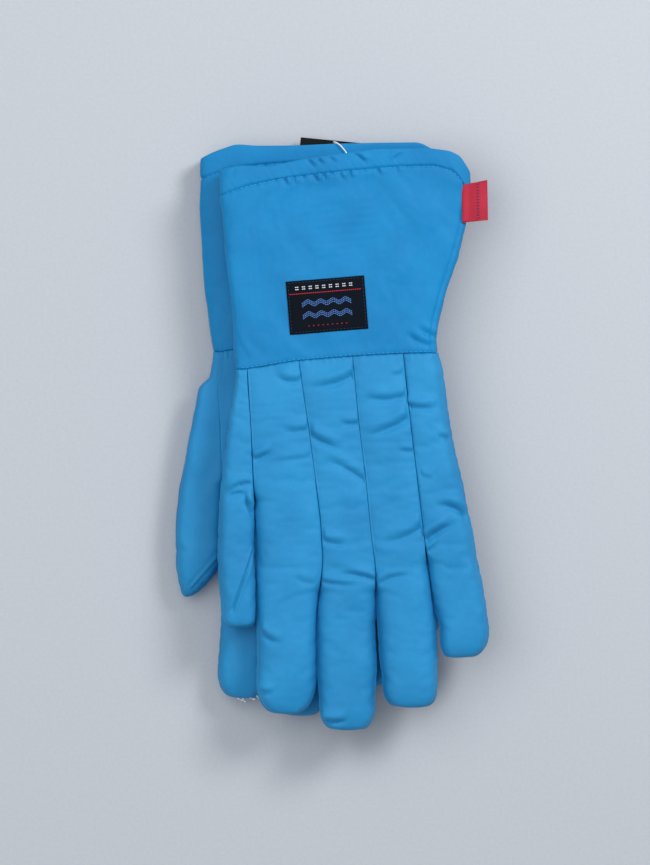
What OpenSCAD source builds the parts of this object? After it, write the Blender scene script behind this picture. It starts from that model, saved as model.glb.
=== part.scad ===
// A pair of long-cuffed cryogenic gloves, stored palm to palm.
// Millimetres, +Z up. Fingers point to -Y, cuffs to +Y and thumbs to -X.
// The left-hand glove lies on top with its back up. The right-hand glove lies
// under it with its back on the table, so it is the same glove turned over.
//
// Every glove is built in its own frame, with z = 0 half way through its
// thickness and its back towards +Z, and is then placed in the stack.

/* [Layers] */
// Thickness of the woven outer shell
shell_t = 1; // [0.8:0.1:1.1]
// Thickness of the batting in the hand and cuff
batting_t = 4; // [3:0.5:4]
// Thickness of the inner lining
lining_t = 0.8; // [0.6:0.1:0.9]
// Free space between one layer and the next
layer_gap = 0.1; // [0.05:0.05:0.1]

/* [Hand] */
// Half the thickness of the hand
hand_half_t = 12; // [11.5:0.5:14]
// Corner radius of the hand's cross-section
hand_r = 6; // [4:0.5:7]
// Space between the back panels, where they are sewn together
seam_gap = 0.3; // [0.2:0.1:0.5]

/* [Fingers and thumb] */
// Half the thickness of a finger
digit_half_t = 11.5; // [10.5:0.5:11.5]
// Corner radius of a finger's cross-section
digit_r = 9; // [7:0.5:9.5]
// Space between the hand and each finger, where the finger bends
knuckle_gap = 1.4; // [1.2:0.1:2]

/* [Cuff] */
// Half the thickness of the cuff
cuff_half_t = 11; // [10.5:0.5:11]
// Corner radius of the cuff's cross-section
cuff_r = 8; // [6:0.5:9]
// Depth of the hem band round the mouth
hem_depth = 12; // [8:1:16]

/* [Labels] */
// Width of the woven label
label_w = 50; // [40:1:60]
// Height of the woven label
label_h = 34; // [25:1:40]
// Thickness of the woven label
label_t = 0.7; // [0.5:0.1:0.8]
// Length of the side tab along the seam
tab_l = 26; // [20:1:30]
// How far the side tab stands out of the seam
tab_w = 10.4; // [8:0.2:10.6]
// Thickness of the side tab, a ribbon folded double
tab_t = 1.4; // [1:0.1:2]

/* [Hang tag] */
// Width of the card
tag_w = 46; // [40:1:50]
// Length of the card
tag_l = 85; // [60:1:90]
// Thickness of the card
tag_t = 0.6; // [0.4:0.1:0.8]
// Radius of the hole that the fastener goes through
tag_hole_r = 2; // [1.5:0.1:2.5]
// Radius of the fastener's plastic thread
thread_r = 0.5; // [0.4:0.05:0.6]

/* [Stack] */
// Free height between the two gloves at the hands
stack_gap = 0.6; // [0.5:0.1:1.5]
// Turn of the lower glove, clockwise from above
lower_turn = 3.2; // [2:0.1:4]
// Place of the lower glove, across and along
lower_at = [-22, 8.5];

/* [Hidden] */
// Points on each corner arc, and the smallest corner radius of an inner layer
corner_steps = 2;
smallest_r = 0.6;

// How deep each layer starts and ends below the shell's outer face
batting_d = shell_t + layer_gap;
lining_d = batting_d + batting_t + layer_gap;
cavity_d = lining_d + lining_t;
half_gap = layer_gap / 2;

// Cross-sections of the hand and cuff: [y at x = 0, slope, left x, right x].
// A section lies in an upright plane, and slope is that plane's dy / dx.
wrist_slope = 0.088;
mouth_slope = 0.09;
mouth_y = 174.5;
thumb_y = -36;
knuckle_y = -84;
palm_sections = [
    [44.9, wrist_slope, -61.2, 67.3],
    [22, 0.04, -64, 72.8],
    [0, 0, -66.7, 75.1],
    [-18, 0, -69.4, 79.3],
    [thumb_y, 0, -71.3, 83.7]
];
upper_knuckles = [
    [thumb_y, 0, -49, 83.7],
    [-60, 0, -48.8, 88.6],
    [knuckle_y, 0, -48.3, 92.6]
];
lower_knuckles = [
    [thumb_y, 0, -45.2, 83.7],
    [-60, 0, -44.2, 88.6],
    [knuckle_y, 0, -43, 92.6]
];
cuff_sections = [
    [150, 0.095, -71.2, 87.7],
    [130, 0.095, -69.6, 86.6],
    [104, 0.09, -66.6, 80.4],
    [75, wrist_slope, -63.8, 71],
    [58, wrist_slope, -62.3, 67.2],
    [45.5, wrist_slope, -61.3, 67.2]
];
mouth_section = [mouth_y, mouth_slope, -72, 88];
hem_section = [mouth_y - hem_depth, mouth_slope, -71.8, 88];

// Seams between the back panels: [y, x] from the wrist to the knuckles
upper_thumb_seam = [[40.2, -53.8], [1, -51.5], [thumb_y, -49.6]];
lower_thumb_seam = [[40.2, -53.8], [1, -49.5], [thumb_y, -45.8]];
index_seam = [[43.1, -20.9], [3, -14.9], [-37, -9.6], [knuckle_y, -7.5]];
middle_seam = [[46, 13], [8, 16.8], [-26, 21.1], [-69, 25.3], [knuckle_y, 27.9]];
ring_seam = [[48.9, 45], [25, 47.6], [-9, 51.8], [-47, 56.3], [knuckle_y, 60.5]];

// A finger or thumb: its edges [y, left x, right x] up to where the tip starts
// to round, and then the tip itself as [x, y]
finger_y = knuckle_y - knuckle_gap;
thumb_base_y = thumb_y - knuckle_gap;
upper_index_finger = [[[finger_y, -48.4, -9.6], [-120, -47.4, -9.6], [-160, -47.6, -10.4]],
    [-27.2, -179.8]];
lower_index_finger = [[[finger_y, -43.1, -9.6], [-120, -41, -9.6], [-160, -41.3, -10.4]],
    [-26.2, -181]];
middle_finger = [[[finger_y, -8.7, 27.6], [-130, -8.8, 27.5], [-170, -8, 26.5]],
    [8.5, -190.1]];
upper_ring_finger = [[[finger_y, 28.6, 61.1], [-125, 29, 66.1], [-157, 33.6, 66.3]],
    [50.5, -175.6]];
lower_ring_finger = [[[finger_y, 28.6, 61.1], [-122, 29, 65.8], [-151, 33.2, 66]],
    [50.5, -169]];
upper_little_finger = [[[finger_y, 61.9, 92.6], [-112, 66.6, 97.8], [-127, 70.2, 99.2]],
    [85, -143.8]];
lower_little_finger = [[[finger_y, 61.9, 92.6], [-106, 66, 97.2], [-118, 69, 98.2]],
    [84, -134]];
upper_thumb = [[[thumb_base_y, -71.3, -49.7], [-75, -71.6, -49.7], [-105, -68.8, -50.2]],
    [-60, -123.3]];
lower_thumb = [[[thumb_base_y, -71.3, -46], [-68, -74, -45.4], [-90, -72, -44.6]],
    [-62, -117]];
tip_angles = [30, 52, 70, 82];

// The woven label on the back of the cuff, and the side tab at its outer edge
label_at = [-3.2, 81.1];
label_turn = 4.7;
tab_at = [88.6, 134.6];

// The hang tag lies in the lower glove's mouth, with its top edge outside
tag_corner = [-20.1, 190];
tag_turn = -5.5;
tag_hole_at = [22.5, -3.4];
tag_lift = 0.1;
// The fastener's thread, up through the card and over the lower hem to the upper
// one. It starts at the bar that holds it under the card.
thread_route = [[1.9, 184.6, 6.2], [1.9, 184.7, 9.5], [2.1, 185.6, 12.5], [2.5, 186.3, 16],
    [3.1, 186.2, 20], [4, 185.4, 23.2], [5.6, 183.4, 24.4], [7.6, 181, 24.5],
    [9.9, 178.2, 24.5]];
thread_sides = 8;
thread_bar = [7, 1.6, 1.2];

lower_z = hand_half_t;
upper_z = 3 * hand_half_t + stack_gap;

SIDE_PARTS = [
    "index_finger_shell", "index_finger_insulation",
    "middle_finger_shell", "middle_finger_insulation",
    "ring_finger_shell", "ring_finger_insulation",
    "little_finger_shell", "little_finger_insulation",
    "thumb_shell", "thumb_insulation",
    "index_back_panel", "middle_back_panel", "ring_back_panel", "little_back_panel",
    "palm_panel", "thumb_gusset",
    "hand_back_insulation", "hand_palm_insulation", "hand_lining",
    "cuff_back_panel", "cuff_palm_panel",
    "cuff_back_insulation", "cuff_palm_insulation", "cuff_lining", "cuff_hem",
    "woven_label", "side_tab"
];

shell_blue = [0.16, 0.54, 0.76];
cuff_blue = [0.13, 0.49, 0.73];
batting_white = [0.93, 0.93, 0.9];
lining_white = [0.86, 0.88, 0.9];
label_navy = [0.12, 0.14, 0.21];
tab_red = [0.74, 0.19, 0.28];
tag_black = [0.06, 0.07, 0.08];
thread_white = [0.92, 0.93, 0.93];

// ---- Sheets of even thickness --------------------------------------------

function quad(a, b, c, d) = [[a, b, c], [a, c, d]];

// A sheet between two grids of points, each a list of stations from +Y to -Y.
// closed joins each station's last point to its first, and tip closes the
// last station of both grids, as at a fingertip.
module sheet(outer, inner, closed = false, tip = false) {
    n = len(outer);
    m = len(outer[0]);
    first_inner = n * m;
    last = (n - 1) * m;
    steps = [for (j = [0:m - (closed ? 1 : 2)]) [j, (j + 1) % m]];
    faces = concat(
        [for (i = [0:n - 2], s = steps) let (a = i * m, b = a + m)
            each concat(
                quad(a + s[0], a + s[1], b + s[1], b + s[0]),
                quad(first_inner + b + s[0], first_inner + b + s[1],
                    first_inner + a + s[1], first_inner + a + s[0]))],
        [for (s = steps) each quad(first_inner + s[0], first_inner + s[1], s[1], s[0])],
        tip ? [
            [for (j = [0:m - 1]) last + j],
            [for (j = [m - 1:-1:0]) first_inner + last + j]
        ] : [for (s = steps) each quad(last + s[0], last + s[1],
            first_inner + last + s[1], first_inner + last + s[0])],
        closed ? [] : [for (i = [0:n - 2]) let (a = i * m, b = a + m, e = m - 1)
            each concat(
                quad(a, b, first_inner + b, first_inner + a),
                quad(first_inner + a + e, first_inner + b + e, b + e, a + e))]
    );
    points = concat([for (s = outer) each s], [for (s = inner) each s]);
    polyhedron(points, faces, convexity = 6);
}

// One corner of a rounded cross-section, set in by d: right and up are 1 or -1
function corner(section, t, r, d, right, up) =
    let (
        cr = max(r - d, smallest_r),
        x = right > 0 ? section[3] - d - cr : section[2] + d + cr,
        z = up * (t - d - cr),
        a0 = right > 0 ? (up > 0 ? 90 : 0) : (up > 0 ? 180 : -90)
    )
    [for (k = [0:corner_steps]) let (a = a0 - 90 * k / corner_steps)
        in_plane(section, x + cr * cos(a), z + cr * sin(a))];

function in_plane(section, x, z) = [x, section[0] + section[1] * x, z];

function loop(section, t, r, d) = concat(
    corner(section, t, r, d, 1, 1), corner(section, t, r, d, 1, -1),
    corner(section, t, r, d, -1, -1), corner(section, t, r, d, -1, 1));

// The back half of a loop, from its left side over the top to its right side
function back_half(section, t, r, d) = concat(
    [in_plane(section, section[2] + d, half_gap)],
    corner(section, t, r, d, -1, 1), corner(section, t, r, d, 1, 1),
    [in_plane(section, section[3] - d, half_gap)]);

function palm_half(section, t, r, d) = concat(
    [in_plane(section, section[3] - d, -half_gap)],
    corner(section, t, r, d, 1, -1), corner(section, t, r, d, -1, -1),
    [in_plane(section, section[2] + d, -half_gap)]);

module tube(sections, t, r, d0, d1) {
    sheet([for (s = sections) loop(s, t, r, d0)], [for (s = sections) loop(s, t, r, d1)],
        closed = true);
}

module back_channel(sections, t, r, d0, d1) {
    sheet([for (s = sections) back_half(s, t, r, d0)],
        [for (s = sections) back_half(s, t, r, d1)]);
}

module palm_channel(sections, t, r, d0, d1) {
    sheet([for (s = sections) palm_half(s, t, r, d0)],
        [for (s = sections) palm_half(s, t, r, d1)]);
}

// ---- Fingers and thumbs ---------------------------------------------------

// The loops of one layer of a digit, d below its outer face
function digit_loops(digit, d) =
    let (
        rows = digit[0],
        last = rows[len(rows) - 1],
        mid_x = (last[1] + last[2]) / 2,
        half_w = (last[2] - last[1]) / 2 - d,
        reach = last[0] - digit[1][1] - d
    )
    concat(
        [for (row = rows) loop([row[0], 0, row[1], row[2]], digit_half_t, digit_r, d)],
        [for (a = tip_angles) let (
                w = half_w * cos(a),
                t = (digit_half_t - d) * pow(cos(a), 0.5),
                x = mid_x + (digit[1][0] - mid_x) * sin(a),
                r = min(max(digit_r - d, smallest_r), 0.9 * min(w, t))
            )
            loop([last[0] - reach * sin(a), 0, x - w, x + w], t, r, 0)]
    );

module digit_layer(digit, d0, d1) {
    sheet(digit_loops(digit, d0), digit_loops(digit, d1), closed = true, tip = true);
}

module digit_shell(digit) {
    color(shell_blue) digit_layer(digit, 0, shell_t);
}

// Batting quilted to its lining, sewn in as one sleeve
module digit_insulation(digit) {
    color(batting_white) digit_layer(digit, batting_d, cavity_d);
}

// ---- Hand -------------------------------------------------------------------

// A flat panel of the back between two edges, each a list of [y, x]
module back_panel(left, right) {
    edge = concat(
        [for (p = left) [p[1] + seam_gap / 2, p[0]]],
        [for (i = [len(right) - 1:-1:0]) [right[i][1] - seam_gap / 2, right[i][0]]]);
    color(shell_blue)
        translate([0, 0, hand_half_t - shell_t]) linear_extrude(shell_t) polygon(edge);
}

// The index panel steps in past the thumb, where the palm panel folds up
module index_back_panel(seam, knuckles) {
    back_panel(concat(seam,
        [for (s = knuckles) [s[0] - seam_gap, s[2] + hand_r + seam_gap]]),
        concat(index_seam, [[knuckle_y - seam_gap, index_seam[3][1]]]));
}

module middle_back_panel() {
    back_panel(index_seam, middle_seam);
}

module ring_back_panel() {
    back_panel(middle_seam, ring_seam);
}

// The outer edge stops where the palm panel folds round the side
module little_back_panel() {
    back_panel(ring_seam, [for (s = concat(palm_sections, [for (i = [1:2]) upper_knuckles[i]]))
        let (x = s[3] - hand_r - seam_gap) [s[0] + s[1] * x, x]]);
}

function palm_path(section, d, to_thumb) = concat(
    corner(section, hand_half_t, hand_r, d, 1, 1),
    corner(section, hand_half_t, hand_r, d, 1, -1),
    to_thumb
        ? [in_plane(section, section[2] + hand_r + seam_gap, d - hand_half_t)]
        : concat(corner(section, hand_half_t, hand_r, d, -1, -1),
            corner(section, hand_half_t, hand_r, d, -1, 1)));

module palm_panel(knuckles) {
    color(shell_blue) union() {
        sheet([for (s = palm_sections) palm_path(s, 0, true)],
            [for (s = palm_sections) palm_path(s, shell_t, true)]);
        sheet([for (s = knuckles) palm_path(s, 0, false)],
            [for (s = knuckles) palm_path(s, shell_t, false)]);
    }
}

// The strip between the thumb and the back, round the hand's thumb side
function gusset_path(section, seam, d) =
    let (x = lookup(section[0], [for (i = [2:-1:0]) seam[i]]) - seam_gap / 2)
    concat(corner(section, hand_half_t, hand_r, d, -1, -1),
        corner(section, hand_half_t, hand_r, d, -1, 1),
        [in_plane(section, x, hand_half_t - d)]);

module thumb_gusset(seam) {
    color(shell_blue)
        sheet([for (s = palm_sections) gusset_path(s, seam, 0)],
            [for (s = palm_sections) gusset_path(s, seam, shell_t)]);
}

module hand_back_insulation(knuckles) {
    color(batting_white) union() {
        back_channel(palm_sections, hand_half_t, hand_r, batting_d, batting_d + batting_t);
        back_channel(knuckles, hand_half_t, hand_r, batting_d, batting_d + batting_t);
    }
}

module hand_palm_insulation(knuckles) {
    color(batting_white) union() {
        palm_channel(palm_sections, hand_half_t, hand_r, batting_d, batting_d + batting_t);
        palm_channel(knuckles, hand_half_t, hand_r, batting_d, batting_d + batting_t);
    }
}

module hand_lining(knuckles) {
    color(lining_white) union() {
        tube(palm_sections, hand_half_t, hand_r, lining_d, cavity_d);
        tube(knuckles, hand_half_t, hand_r, lining_d, cavity_d);
    }
}

// ---- Cuff --------------------------------------------------------------------

// The cuff's shell stops at the hem band; its inner layers run on to the mouth
shell_sections = concat([[hem_section[0] - seam_gap, mouth_slope, hem_section[2], hem_section[3]]],
    cuff_sections);
inner_sections = concat([[mouth_y - shell_t - layer_gap, mouth_slope,
    mouth_section[2], mouth_section[3]]], cuff_sections);

module cuff_back_panel() {
    color(cuff_blue) back_channel(shell_sections, cuff_half_t, cuff_r, 0, shell_t);
}

module cuff_palm_panel() {
    color(cuff_blue) palm_channel(shell_sections, cuff_half_t, cuff_r, 0, shell_t);
}

module cuff_back_insulation() {
    color(batting_white)
        back_channel(inner_sections, cuff_half_t, cuff_r, batting_d, batting_d + batting_t);
}

module cuff_palm_insulation() {
    color(batting_white)
        palm_channel(inner_sections, cuff_half_t, cuff_r, batting_d, batting_d + batting_t);
}

module cuff_lining() {
    color(lining_white) tube(inner_sections, cuff_half_t, cuff_r, lining_d, cavity_d);
}

// A band round the mouth, turned in over the ends of the inner layers
module cuff_hem() {
    function at(y, d) = loop([y, mouth_slope, mouth_section[2], mouth_section[3]],
        cuff_half_t, cuff_r, d);
    rim_y = mouth_y - shell_t;
    color(cuff_blue)
        sheet([at(mouth_y, 0), at(mouth_y - shell_t / 2, 0), at(rim_y, 0),
                loop(hem_section, cuff_half_t, cuff_r, 0)],
            [at(mouth_y, cavity_d), at(rim_y, cavity_d), at(rim_y, shell_t),
                loop(hem_section, cuff_half_t, cuff_r, shell_t)],
            closed = true);
}

module woven_label() {
    color(label_navy)
        translate([label_at[0], label_at[1], cuff_half_t + half_gap])
            rotate([0, 0, label_turn])
                translate([-label_w / 2, -label_h / 2, 0]) cube([label_w, label_h, label_t]);
}

module side_tab() {
    color(tab_red)
        translate([tab_at[0], tab_at[1], -tab_t / 2]) cube([tab_w, tab_l, tab_t]);
}

// ---- Stack ---------------------------------------------------------------------

module upper() {
    translate([0, 0, upper_z]) children();
}

module lower() {
    translate([lower_at[0], lower_at[1], lower_z])
        rotate([0, 0, -lower_turn]) mirror([0, 0, 1]) children();
}

module hang_tag() {
    cavity_floor = lower_z - cuff_half_t + cavity_d;
    color(tag_black)
        translate([tag_corner[0], tag_corner[1], cavity_floor + tag_lift])
            rotate([0, 0, tag_turn]) difference() {
                translate([0, -tag_l, 0]) cube([tag_w, tag_l, tag_t]);
                translate([tag_hole_at[0], tag_hole_at[1], -1])
                    cylinder(h = tag_t + 2, r = tag_hole_r, $fn = 32);
            }
}

// A thin plastic thread with a short bar under the card
module tag_fastener() {
    n = len(thread_route);
    function along(i) = thread_route[min(i + 1, n - 1)] - thread_route[max(i - 1, 0)];
    function ring(i) =
        let (
            u = along(i) / norm(along(i)),
            side = cross(u, [1, 0, 0]) / norm(cross(u, [1, 0, 0])),
            other = cross(u, side)
        )
        [for (k = [0:thread_sides - 1]) let (a = 360 * k / thread_sides)
            thread_route[i] + thread_r * (cos(a) * side + sin(a) * other)];
    m = thread_sides;
    faces = concat(
        [[for (k = [0:m - 1]) k]],
        [for (i = [0:n - 2], k = [0:m - 1]) let (a = i * m, b = a + m, e = (k + 1) % m)
            each quad(a + e, a + k, b + k, b + e)],
        [[for (k = [m - 1:-1:0]) (n - 1) * m + k]]);
    color(thread_white) union() {
        polyhedron([for (i = [0:n - 1]) each ring(i)], faces);
        translate([thread_route[0][0], thread_route[0][1], thread_route[0][2]])
            translate(-thread_bar / 2) cube(thread_bar);
    }
}

upper() digit_shell(upper_index_finger);  // left_index_finger_shell
upper() digit_insulation(upper_index_finger);  // left_index_finger_insulation
upper() digit_shell(middle_finger);  // left_middle_finger_shell
upper() digit_insulation(middle_finger);  // left_middle_finger_insulation
upper() digit_shell(upper_ring_finger);  // left_ring_finger_shell
upper() digit_insulation(upper_ring_finger);  // left_ring_finger_insulation
upper() digit_shell(upper_little_finger);  // left_little_finger_shell
upper() digit_insulation(upper_little_finger);  // left_little_finger_insulation
upper() digit_shell(upper_thumb);  // left_thumb_shell
upper() digit_insulation(upper_thumb);  // left_thumb_insulation
upper() index_back_panel(upper_thumb_seam, upper_knuckles);  // left_index_back_panel
upper() middle_back_panel();  // left_middle_back_panel
upper() ring_back_panel();  // left_ring_back_panel
upper() little_back_panel();  // left_little_back_panel
upper() palm_panel(upper_knuckles);  // left_palm_panel
upper() thumb_gusset(upper_thumb_seam);  // left_thumb_gusset
upper() hand_back_insulation(upper_knuckles);  // left_hand_back_insulation
upper() hand_palm_insulation(upper_knuckles);  // left_hand_palm_insulation
upper() hand_lining(upper_knuckles);  // left_hand_lining
upper() cuff_back_panel();  // left_cuff_back_panel
upper() cuff_palm_panel();  // left_cuff_palm_panel
upper() cuff_back_insulation();  // left_cuff_back_insulation
upper() cuff_palm_insulation();  // left_cuff_palm_insulation
upper() cuff_lining();  // left_cuff_lining
upper() cuff_hem();  // left_cuff_hem
upper() woven_label();  // left_woven_label
upper() side_tab();  // left_side_tab
lower() digit_shell(lower_index_finger);  // right_index_finger_shell
lower() digit_insulation(lower_index_finger);  // right_index_finger_insulation
lower() digit_shell(middle_finger);  // right_middle_finger_shell
lower() digit_insulation(middle_finger);  // right_middle_finger_insulation
lower() digit_shell(lower_ring_finger);  // right_ring_finger_shell
lower() digit_insulation(lower_ring_finger);  // right_ring_finger_insulation
lower() digit_shell(lower_little_finger);  // right_little_finger_shell
lower() digit_insulation(lower_little_finger);  // right_little_finger_insulation
lower() digit_shell(lower_thumb);  // right_thumb_shell
lower() digit_insulation(lower_thumb);  // right_thumb_insulation
lower() index_back_panel(lower_thumb_seam, lower_knuckles);  // right_index_back_panel
lower() middle_back_panel();  // right_middle_back_panel
lower() ring_back_panel();  // right_ring_back_panel
lower() little_back_panel();  // right_little_back_panel
lower() palm_panel(lower_knuckles);  // right_palm_panel
lower() thumb_gusset(lower_thumb_seam);  // right_thumb_gusset
lower() hand_back_insulation(lower_knuckles);  // right_hand_back_insulation
lower() hand_palm_insulation(lower_knuckles);  // right_hand_palm_insulation
lower() hand_lining(lower_knuckles);  // right_hand_lining
lower() cuff_back_panel();  // right_cuff_back_panel
lower() cuff_palm_panel();  // right_cuff_palm_panel
lower() cuff_back_insulation();  // right_cuff_back_insulation
lower() cuff_palm_insulation();  // right_cuff_palm_insulation
lower() cuff_lining();  // right_cuff_lining
lower() cuff_hem();  // right_cuff_hem
lower() woven_label();  // right_woven_label
lower() side_tab();  // right_side_tab
hang_tag();
tag_fastener();
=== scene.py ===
"""The looks of a pair of padded cryogenic gloves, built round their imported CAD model.

Every glove piece is shaped in the glove's own frame, in millimetres: z = 0 is half way through its
thickness, its back faces +Z, its fingers point to -Y and its thumb to -X. place() then puts it in
the stack, in metres.
"""

import math

import bpy
import numpy as np
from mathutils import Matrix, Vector
from mathutils.bvhtree import BVHTree


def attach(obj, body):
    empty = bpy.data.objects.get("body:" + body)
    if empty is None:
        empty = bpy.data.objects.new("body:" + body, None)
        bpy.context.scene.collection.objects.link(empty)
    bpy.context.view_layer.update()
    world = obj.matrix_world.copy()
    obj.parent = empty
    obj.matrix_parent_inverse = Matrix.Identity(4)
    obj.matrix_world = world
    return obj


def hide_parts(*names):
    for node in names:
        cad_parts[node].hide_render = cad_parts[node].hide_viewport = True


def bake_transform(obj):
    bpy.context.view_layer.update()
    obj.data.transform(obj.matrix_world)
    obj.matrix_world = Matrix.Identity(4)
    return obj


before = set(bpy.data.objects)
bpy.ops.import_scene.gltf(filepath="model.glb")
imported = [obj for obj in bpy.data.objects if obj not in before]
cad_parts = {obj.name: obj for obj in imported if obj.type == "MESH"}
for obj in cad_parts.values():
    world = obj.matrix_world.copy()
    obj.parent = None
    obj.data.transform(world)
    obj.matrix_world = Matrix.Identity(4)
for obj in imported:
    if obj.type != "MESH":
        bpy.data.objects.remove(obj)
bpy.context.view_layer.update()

MM = 0.001

# ---- Sizes, in millimetres ----

HAND_HALF = 12.0
DIGIT_HALF = 11.5
CUFF_HALF = 11.0
SEAM_GAP = 0.08
PALM_THICK = 2.4
CUFF_THICK = 4.6
ROW_STEP = 1.25
COLUMN_RING = (84, 52)
PALM_COLUMNS = 190
CUFF_RING = (180, 90)

# Where a finger's tip rounds off, as turns from its side to its end
TIP_TURNS = np.radians([*range(0, 80, 4), *np.arange(80, 90, 1.5)])

# How square the corners of a section are: 2 is an ellipse
SEAM_POWER = 8.0
BLOCK_POWER = 16.0
FLUSH_POWER = 24.0
FINGER_POWER = 3.9
CUFF_POWER = 6.0
PALM_POWER = 2.7

# How much deeper the creases are than their own figures
CREASE_DEPTH = 1.35

WRIST_Y = 46.0
THUMB_Y = -36.0
PALM_END = -87
PINCH_Y = (16, 82)
PINCH_X = -44

# Where the seams run, as (y, x) from the wrist to the fingertips
INDEX_SEAM = [(43, -20.9), (3, -14.9), (-37, -9.6), (-54, -7.4), (-80, -5.8), (-93, -6.8)]
MIDDLE_SEAM = [(46, 13), (8, 16.8), (-26, 21.1), (-69, 25.3), (-84, 27.6), (-95, 28)]
RING_SEAM = [(49, 45), (25, 47.6), (-9, 51.8), (-47, 56.3), (-76, 59.8)]
HAND_LEFT = [(45, -61.2), (22, -64), (0, -66.7), (-18, -69.4), (THUMB_Y, -71.3)]
HAND_RIGHT = [(50, 66.2), (22, 71.9), (0, 75.1), (-18, 78.8), (-36, 83.2), (-60, 88.4), (-84, 92.4)]

# The cuff's seams and edges
WRIST_LINE = [(-61.3, 40), (-54, 40.3), (-24, 45.4), (13, 48.6), (44, 50.2), (67.3, 50.6)]
CUFF_LEFT = [(40, -61.3), (75, -64.3), (103, -67.1), (131, -70.5), (167, -71.9)]
CUFF_RIGHT = [(47, 67.3), (61, 66.9), (71, 68.3), (89, 73.2), (106, 78.7), (125, 84.3), (134, 86.4),
    (160, 88.3)]
HEM_LINE = [(-72, 151), (-55, 157.5), (-36, 161.5), (-21, 163.6), (9, 167), (43, 170), (66, 170.4),
    (79, 166.5), (88, 153)]

HEM_ENDS = (-72, 88.3)

# A crease has its start, its end, how far it bows towards the fingers, its depth and its width
INDEX_CREASES = [
    ((-21, 33), (-38, 38), 2.5, 1.0, 3.2),
    ((-16, 2), (-33, 2), 1.5, 0.8, 2.6),
    ((-49, -17), (-36, -10), 1.0, 1.2, 2.6),
    ((-14, -15), (-40, -18), 1.0, 0.4, 2.4),
    ((-46, -127), (-30, -134), 2.0, 0.8, 2.6),
    ((-47, -165), (-35, -165), 1.0, 0.7, 2.2),
    ((-12, -96), (-26, -90), 1.5, 0.5, 3.0),
]
MIDDLE_CREASES = [
    ((14, 37), (-18, 30), 3.0, 1.1, 3.4),
    ((17, 6), (3, 7), 1.0, 0.9, 2.4),
    ((-14, -1), (11, -11), 2.0, 1.0, 3.0),
    ((21, -31), (-8, -16), -1.5, 0.9, 3.0),
    ((-5, -69), (11, -70), 1.5, 0.8, 2.8),
    ((27, -94), (2, -90), -1.5, 1.1, 2.4),
    ((-6, -95), (18, -97), 1.0, 0.7, 2.2),
    ((-5, -184), (12, -182), 1.5, 1.2, 2.4),
]
RING_CREASES = [
    ((45, 38), (37, 37), 0.5, 0.6, 2.0),
    ((46, 23), (17, 24), 2.5, 1.0, 3.0),
    ((48, 9), (18, -2), 2.0, 1.2, 3.4),
    ((52, -12), (41, -11), 0.5, 0.7, 2.0),
    ((57, -60), (31, -69), 2.5, 1.0, 3.2),
    ((30, -96), (55, -91), -2.0, 0.7, 2.4),
]
LITTLE_CREASES = [
    ((48, 17), (70, 17), 1.5, 1.2, 2.8),
    ((77, -4), (65, -1), 0.5, 0.8, 2.4),
    ((89, -55), (62, -46), -3.0, 1.5, 3.4),
    ((60, -69), (81, -57), -1.5, 1.5, 3.2),
    ((61, -76), (68, -68), 0.5, 0.9, 2.2),
    ((57, -28), (66, -29), 0.5, 0.5, 2.0),
]
THUMB_CREASES = [
    ((-52, -32.5), (-69, -39.5), -1.5, 0.9, 2.4),
    ((-57, -38.5), (-67, -42.5), -1.0, 0.7, 2.2),
    ((-49.5, -53), (-56.5, -36), 1.0, 1.3, 1.7),
]
CUFF_CREASES = [
    ((62, 55), (45, 66), 1.5, 0.8, 3.0),
    ((66, 61), (52, 69), 1.0, 0.7, 2.6),
    ((-30, 162), (-27.5, 156.5), 0.4, 0.7, 1.5),
    ((-24.5, 162.5), (-23, 157.5), 0.4, 0.6, 1.4),
    ((-11, 164.5), (-8, 159), 0.5, 0.8, 1.5),
    ((-5, 165), (-3.4, 160.5), 0.3, 0.6, 1.4),
    ((5, 166), (8, 160.5), 0.5, 0.8, 1.5),
    ((11, 167), (12.6, 161.5), 0.4, 0.7, 1.4),
    ((29, 169), (31.5, 163.5), 0.5, 0.7, 1.5),
    ((41, 169.5), (42.5, 165), 0.4, 0.6, 1.4),
]

HEM_CREASES = [
    ((-19, 177), (-10, 167.5), -0.5, 1.1, 1.8),
    ((-12, 177), (-5, 169.5), -0.5, 1.2, 1.6),
    ((-4, 177), (4, 170), -0.5, 0.8, 1.6),
    ((14, 178), (23, 170.5), -0.5, 1.0, 1.7),
    ((44, 178), (39, 172), -0.5, 0.6, 1.8),
    ((-62, 168), (-66, 160), 0.5, 0.5, 2.0),
]

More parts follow.
